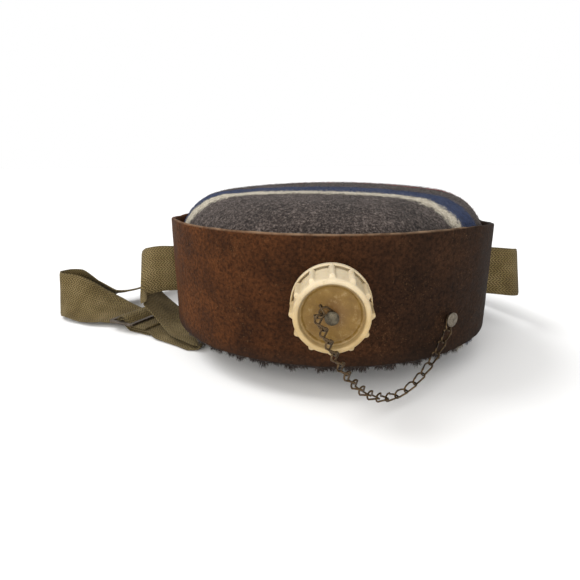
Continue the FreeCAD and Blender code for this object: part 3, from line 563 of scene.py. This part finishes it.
def leather_band(around=576):
    section = band_section()
    points = []
    for radius, height in section:
        outside = radius > BAND_R - BAND_T / 2
        share = (height - BAND_LOW) / (BAND_HIGH - BAND_LOW)
        for step in range(around):
            angle = 2 * math.pi * step / around
            x, y = radius * math.cos(angle), radius * math.sin(angle)
            out = 0.0
            lift = 0.0
            if outside:
                out = (0.00030 * wobble(x, y, height, 14, 4.0)
                       + 0.00022 * wobble(x, y, height, 60, 2.0)
                       + 0.00010 * wobble(x, y, height, 300, 9.0))
            if share > 0.97:
                lift = 0.0004 * wobble(x, y, 0, 16, 1.0) + 0.00025 * wobble(x, y, 0, 130, 5.0)
            if share < 0.03:
                lift = 0.0005 * wobble(x, y, 0, 30, 8.0) + 0.0004 * wobble(x, y, 0, 210, 3.0)
            lap = (math.degrees(angle) - 99.0)
            if outside and -0.9 < lap < 0.3:
                out -= 0.0006
            r = radius + out
            lift -= rim_drop(x, y, share)
            points.append((r * math.cos(angle), r * math.sin(angle), height + lift))
    band = make_object("band", points, [face[::-1] for face in
                                        grid_faces(len(section), around, wrap_rows=True)], LEATHER)
    bpy.ops.mesh.primitive_cube_add(size=1)
    slots = bpy.context.object
    slots.matrix_world = (Matrix.Translation((0, 0.012, 0.048))
                          @ Matrix.Diagonal((0.25, 0.008, 0.042, 1)))
    cut(band, [neck_cutter(0.0195), slots])
    band.data.set_sharp_from_angle(angle=math.radians(50))
    return band


show(leather_band(), "band_leather", "leather_band")

# ---------------------------------------------------------------- cap
CAP_BACK, CAP_FRONT = 0.127, 0.152
CAP_AXIS_Z = 0.063
RIBS = 12


def cap_section():
    """Spots along the cap's wall: (radius, distance out from the canteen, rib strength)."""
    spots = []

    def run(start, end, steps, rib=(0.0, 0.0)):
        for n in range(steps):
            t = n / steps
            spots.append((start[0] + (end[0] - start[0]) * t, start[1] + (end[1] - start[1]) * t,
                          rib[0] + (rib[1] - rib[0]) * t))

    flange, wall, rim = 0.0215, 0.0191, 0.0162
    back, front, floor = CAP_BACK, CAP_FRONT, CAP_FRONT - 0.0045
    run((0.0165, back), (flange - 0.0005, back), 6)
    run((flange - 0.0005, back), (flange, back + 0.0005), 3)
    run((flange, back + 0.0005), (flange, back + 0.0037), 5)
    run((flange, back + 0.0037), (flange - 0.0004, back + 0.0042), 3)
    run((flange - 0.0004, back + 0.0042), (flange - 0.0009, back + 0.0041), 3)
    run((flange - 0.0009, back + 0.0041), (wall + 0.0007, back + 0.0016), 7, (0.6, 1.0))
    run((wall + 0.0007, back + 0.0016), (wall + 0.0004, back + 0.0022), 3, (1.0, 1.0))
    run((wall + 0.0004, back + 0.0022), (wall + 0.0001, front - 0.0034), 22, (1.0, 1.0))
    run((wall + 0.0001, front - 0.0034), (wall, front - 0.0014), 9, (1.0, 0.1))
    for n in range(7):
        angle = math.pi / 2 * n / 7
        spots.append((wall - 0.0014 + 0.0014 * math.cos(angle), front - 0.0014
                      + 0.0014 * math.sin(angle), 0.0))
    run((wall - 0.0014, front), (rim + 0.0012, front), 5)
    for n in range(6):
        angle = math.pi / 2 * n / 6
        spots.append((rim + 0.0012 - 0.0012 * math.sin(angle), front - 0.0012
                      + 0.0012 * math.cos(angle), 0.0))
    run((rim, front - 0.0012), (rim - 0.0006, floor + 0.0014), 5)
    for n in range(6):
        angle = math.pi / 2 * n / 6
        spots.append((rim - 0.0006 - 0.0014 * math.sin(angle), floor + 0.0014
                      - 0.0014 * math.sin(angle) ** 1.0 * math.sin(angle), 0.0))
    run((rim - 0.0022, floor), (0.00125, floor - 0.0001), 16)
    run((0.00125, floor - 0.0001), (0.00125, floor - 0.0022), 3)
    run((0.00125, floor - 0.0022), (0.0165, floor - 0.0022), 8)
    run((0.0165, floor - 0.0022), (0.0165, back), 10)
    return spots


def cap_mesh(around=432):
    points = []
    for radius, out, rib in cap_section():
        for step in range(around):
            angle = 2 * math.pi * step / around
            turn = (angle * RIBS / (2 * math.pi)) % 1.0
            from_rib = min(turn, 1 - turn) * 2 * math.pi / RIBS * 0.0195
            ridge = rib * 0.0018 * max(0.0, 1 - (from_rib / 0.00165) ** 2) ** 0.5
            r = radius + ridge
            points.append((r * math.sin(angle), -out, CAP_AXIS_Z + r * math.cos(angle)))
    rows = len(cap_section())
    faces = grid_faces(rows, around, wrap_rows=True)
    return make_object("cap", points, faces, CAP)


show(cap_mesh(), "cap_plastic", "cap_shell", body="cap")


# ---------------------------------------------------------------- webbing sling
STRAP_W, STRAP_T = 0.038, 0.0017
SLIDE_CENTRE = Vector((-160, 5, 0))
SLIDE_HEADING = Vector((0.9, -0.43, 0)).normalized()
SLIDE_ACROSS = Vector((0.43, 0.9, 0)).normalized()
UP = Vector((0, 0, 1))
CRADLE_R = 114.0
CRADLE_END = 98.4
STRAP_HEIGHT = 48


def at_slide(spots):
    return [(SLIDE_CENTRE + SLIDE_HEADING * along + UP * height, SLIDE_ACROSS)
            for along, height in spots]


def at(*stations):
    return [(Vector(s[:3]), Vector(s[3:]).normalized()) for s in stations]


def cradle():
    steps = 27
    for step in range(steps + 1):
        spin = math.radians(360 - CRADLE_END - step * (360 - 2 * CRADLE_END) / steps)
        yield Vector((CRADLE_R * math.sin(spin), -CRADLE_R * math.cos(spin), STRAP_HEIGHT)), UP


def slot_bend(side):
    return [(Vector((side * x, y, STRAP_HEIGHT)), UP)
            for x, y in ((118.6, 11.8), (115.8, 12.0), (114.2, 12.8), (113.3, 14.3))]


SEWN_END = at_slide([(30, 1.15), (20, 1.15), (12, 1.15), (8.6, 1.2), (6.4, 1.7), (4, 3.3),
                     (1.8, 4.8), (-0.6, 5.15), (-2.6, 5.8), (-3.2, 7.3), (-2.6, 8.8),
                     (-0.6, 9.45), (1.8, 9.25), (4.2, 7.0), (6.4, 4.5), (9, 3.45), (11.5, 3.15),
                     (20, 3.15), (30, 3.1)])
UNDER_RIM = at((-124, -16, 1.6, 0.35, 0.94, 0), (-108, -26, 1.2, 0.2, 0.98, 0),
               (-99, -32, 1.2, 0.05, 1, 0), (-94.5, -33, 1.6, 0.05, 1, 0),
               (-92.6, -33, 3.6, 0.05, 1, 0), (-94.5, -32, 5.4, 0.08, 1, 0),
               (-102, -26, 5.6, 0.12, 0.99, 0), (-112, -18, 5.6, 0.15, 0.98, 0),
               (-124, -8, 7.5, 0.1, 0.99, 0), (-136, -1, 15, 0.05, 1, 0))
LEFT_FOLD = at((-147, 2, 25, 0, 1, 0.05), (-152, 3, 33, -0.3, 0.9, 0.3),
               (-155, 4, 41, -0.2, 0.75, 0.65), (-150, 5, 46, -0.12, 0.4, 0.9),
               (-140, 7, 48, -0.05, 0.1, 1), (-129, 9, 48, 0, 0, 1))
RIGHT_LOOP = at((126, 10.2, 48, 0, 0, 1), (137, 8.6, 47.5, -0.04, 0, 1),
                (147, 9.6, 46.6, -0.12, 0, 1), (153, 15, 45.5, -0.16, 0, 1),
                (155, 25, 43.5, -0.14, 0.04, 1), (152, 38, 40, -0.1, 0.05, 1),
                (146, 60, 34, -0.06, 0.05, 1), (136, 86, 27.5, 0, 0, 1),
                (121, 110, 22.5, 0, 0, 1), (100, 132, 20, 0, 0, 1))
BEHIND = at((70, 148, 19.4, 0, 0, 1), (30, 157, 19.4, 0, 0, 1), (-15, 156, 19.4, 0, 0, 1),
            (-52, 151, 19.4, 0, 0, 1), (-74, 152, 19.4, 0, 0, 1), (-85, 159, 19.4, 0, 0, 1),
            (-86, 169, 19.4, 0, 0, 1), (-76, 177, 19.4, 0, 0, 1), (-50, 180, 19.4, 0, 0, 1),
            (-10, 185, 19.4, 0, 0, 1), (30, 186, 19.4, 0, 0, 1), (52, 189, 19.4, 0, 0, 1),
            (62, 197, 19.4, 0, 0, 1), (60, 207, 19.4, 0, 0, 1), (48, 213, 19.4, 0, 0, 1),
            (10, 214, 19.4, 0, 0, 1), (-40, 209, 19.4, 0, 0, 1), (-90, 192, 19.4, 0, 0, 1),
            (-128, 162, 19.4, 0, 0, 1), (-150, 128, 19.4, 0, 0, 1))
FAR_LEFT = at((-160, 112, 20.5, 0.05, -0.15, 0.98), (-167, 95, 19, 0.2, -0.5, 0.84),
              (-174, 79, 16.5, 0.35, -0.8, 0.48), (-181, 66, 15, 0.4, -0.88, 0.26),
              (-190, 56, 14.5, 0.4, -0.88, 0.26), (-200, 52, 14.5, 0.35, -0.86, 0.3),
              (-212, 50, 17.5, 0.15, -0.75, 0.62), (-224, 45, 20.5, 0, -0.35, 0.93),
              (-234, 37, 21, 0, -0.05, 1), (-239, 27.5, 21, 0, 0.05, 1),
              (-236, 19, 21, 0.05, 0.2, 0.97), (-226, 15.2, 21, 0.1, 0.45, 0.88),
              (-213, 13.2, 17.5, 0.05, 0.62, 0.78), (-200, 12.5, 13, 0.05, 0.85, 0.5),
              (-186, 13.5, 7.4, 0.3, 0.93, 0.15))
THREADED_END = at_slide([(-15, 4.4), (-11.5, 4.4), (-9.2, 4.9), (-7.2, 7.1), (-5, 9.8),
                         (-2.4, 11.5), (0.8, 11.75), (3.4, 10.9), (5.6, 8.9), (7.4, 6.6),
                         (9.4, 5.45), (13, 5.2), (19, 5.15), (25, 5.15)])


def strap_line(longest=1.6):
    """Close-set middle points of the webbing and the directions across it, in metres."""
    stations = (SEWN_END + UNDER_RIM + LEFT_FOLD + slot_bend(-1) + list(cradle())
                + slot_bend(1)[::-1] + RIGHT_LOOP + BEHIND + FAR_LEFT + THREADED_END)
    ends = [stations[0]] + stations + [stations[-1]]
    line = [stations[0]]
    for (before, _), (start, across), (end, next_across), (after, _) in zip(
            ends, ends[1:], ends[2:], ends[3:]):
        steps = max(1, math.ceil((end - start).length / longest))
        for step in range(1, steps + 1):
            t = step / steps
            spot = (start * 2 + (end - before) * t
                    + (before * 2 - start * 5 + end * 4 - after) * t ** 2
                    + (start * 3 - before - end * 3 + after) * t ** 3) * 0.5
            line.append((spot, (across * (1 - t) + next_across * t).normalized()))
    return [(spot * MM, across) for spot, across in line]


def strap_mesh(columns=17):
    """The webbing as a closed ribbon with rounded edges; UV runs along and across, in metres."""
    line = strap_line()
    ring = []
    for n in range(columns):
        share = -1 + 2 * n / (columns - 1)
        ring.append((share, -1))
    for n in range(columns):
        share = 1 - 2 * n / (columns - 1)
        ring.append((share, 1))
    points, uv = [], []
    travelled = 0.0
    total = sum((b[0] - a[0]).length for a, b in zip(line, line[1:]))
    for index, (spot, across) in enumerate(line):
        ahead = line[min(index + 2, len(line) - 1)][0]
        behind = line[max(index - 2, 0)][0]
        along = (ahead - behind).normalized()
        normal = along.cross(across)
        reach = across * (STRAP_W / 2 / max(normal.length, 0.75))
        normal.normalize()
        if index:
            travelled += (spot - line[index - 1][0]).length
        near_end = min(travelled, total - travelled) < 0.001
        for share, side in ring:
            thick = STRAP_T / 2 * (1.0 - 0.55 * max(0.0, abs(share) - 0.90) / 0.10)
            if near_end:
                thick *= 0.7
            ripple = 0.00012 * wobble(travelled, share * 0.019, side, 90, 3.0)
            edge = 1.0 + (0.010 * wobble(travelled, share, 0, 60, 6.0) if abs(share) > 0.9 else 0.0)
            points.append(spot + reach * (share * edge) + normal * (side * thick + ripple))
            uv.append((travelled, share * STRAP_W / 2))
    count = len(ring)
    faces = grid_faces(len(line), count)
    faces += [tuple(range(count))[::-1], tuple(range(len(points) - count, len(points)))]
    strap = make_object("strap", points, [face[::-1] for face in faces], WEBBING, uv)
    strap.data.set_sharp_from_angle(angle=math.radians(60))
    return strap, total, line


strap, strap_length, line = strap_mesh()
show(strap, "webbing", "shoulder_strap")


# ---------------------------------------------------------------- slide with rubbed edges
def softened(node, name, material, slot_name, width):
    source = nodes_of_cad[node]
    thing = source.copy()
    thing.data = source.data.copy()
    thing.name = name
    for key in list(thing.keys()):
        if key.startswith("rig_"):
            del thing[key]
    thing.parent = None
    bpy.context.scene.collection.objects.link(thing)
    thing.data.materials.clear()
    thing.data.materials.append(material)
    weld = thing.modifiers.new("weld", "WELD")
    weld.merge_threshold = 0.00001
    flat = thing.modifiers.new("flat", "DECIMATE")
    flat.decimate_type = "DISSOLVE"
    flat.angle_limit = math.radians(0.5)
    edge = thing.modifiers.new("edge", "BEVEL")
    edge.width = width
    edge.segments = 3
    edge.limit_method = "ANGLE"
    edge.angle_limit = math.radians(40)
    baked(thing)
    thing.data.polygons.foreach_set("use_smooth", [True] * len(thing.data.polygons))
    thing.data.set_sharp_from_angle(angle=math.radians(50))
    return show(thing, slot_name, node)


softened("strap_slide", "slide", SLIDE, "slide_steel", 0.0005)

# ---------------------------------------------------------------- stage, lights and camera
floor_look = Look("studio_floor", roughness=0.8)
floor_look.shader.inputs["Base Color"].default_value = (0.80, 0.80, 0.80, 1.0)
bpy.ops.mesh.primitive_plane_add(size=12, location=(0, 0, -0.0001))
floor = bpy.context.object
floor.name = "floor"
floor.data.materials.append(floor_look.material)

bpy.context.scene.view_settings.view_transform = "Standard"
world = bpy.data.worlds.new("studio")
bpy.context.scene.world = world
world.use_nodes = True
world.node_tree.nodes["Background"].inputs["Color"].default_value = (1.0, 1.0, 1.0, 1.0)
world.node_tree.nodes["Background"].inputs["Strength"].default_value = 1.0


def soft_light(name, spot, aim, size_m, watts, colour=(1.0, 1.0, 1.0)):
    lamp = bpy.data.lights.new(name, "AREA")
    lamp.shape = "DISK"
    lamp.size = size_m
    lamp.energy = watts
    lamp.color = colour
    thing = bpy.data.objects.new(name, lamp)
    thing.location = spot
    thing.rotation_mode = "QUATERNION"
    thing.rotation_quaternion = (Vector(aim) - Vector(spot)).to_track_quat("-Z", "Y")
    bpy.context.scene.collection.objects.link(thing)


sun = bpy.data.lights.new("key", "SUN")
sun.energy = 1.6
sun.angle = math.radians(28)
key = bpy.data.objects.new("key", sun)
key.rotation_mode = "QUATERNION"
key.rotation_quaternion = Vector((0.60, -0.12, -0.80)).to_track_quat("-Z", "Y")
bpy.context.scene.collection.objects.link(key)
soft_light("front", (-0.35, -0.9, 0.55), (0.0, -0.1, 0.05), 0.7, 4.5, (1.0, 0.96, 0.90))
soft_light("low_front", (0.10, -0.95, 0.16), (0.0, -0.1, 0.03), 0.6, 3.0, (1.0, 0.98, 0.95))

EYE = Vector((-0.0053, -0.3604, 0.1366))
FORWARD = Vector((-0.0672, 0.9587, -0.2764)).normalized()
ROLL = -0.009
lens = bpy.data.cameras.new("camera")
lens.lens = 28.62
lens.sensor_width = 36.0
lens.clip_start, lens.clip_end = 0.01, 50.0
camera = bpy.data.objects.new("camera", lens)
camera.rotation_mode = "QUATERNION"
camera.location = EYE
camera.rotation_quaternion = (FORWARD.to_track_quat("-Z", "Y").to_matrix()
                              @ Matrix.Rotation(ROLL, 3, "Z")).to_quaternion()
bpy.context.scene.collection.objects.link(camera)
bpy.context.scene.camera = camera
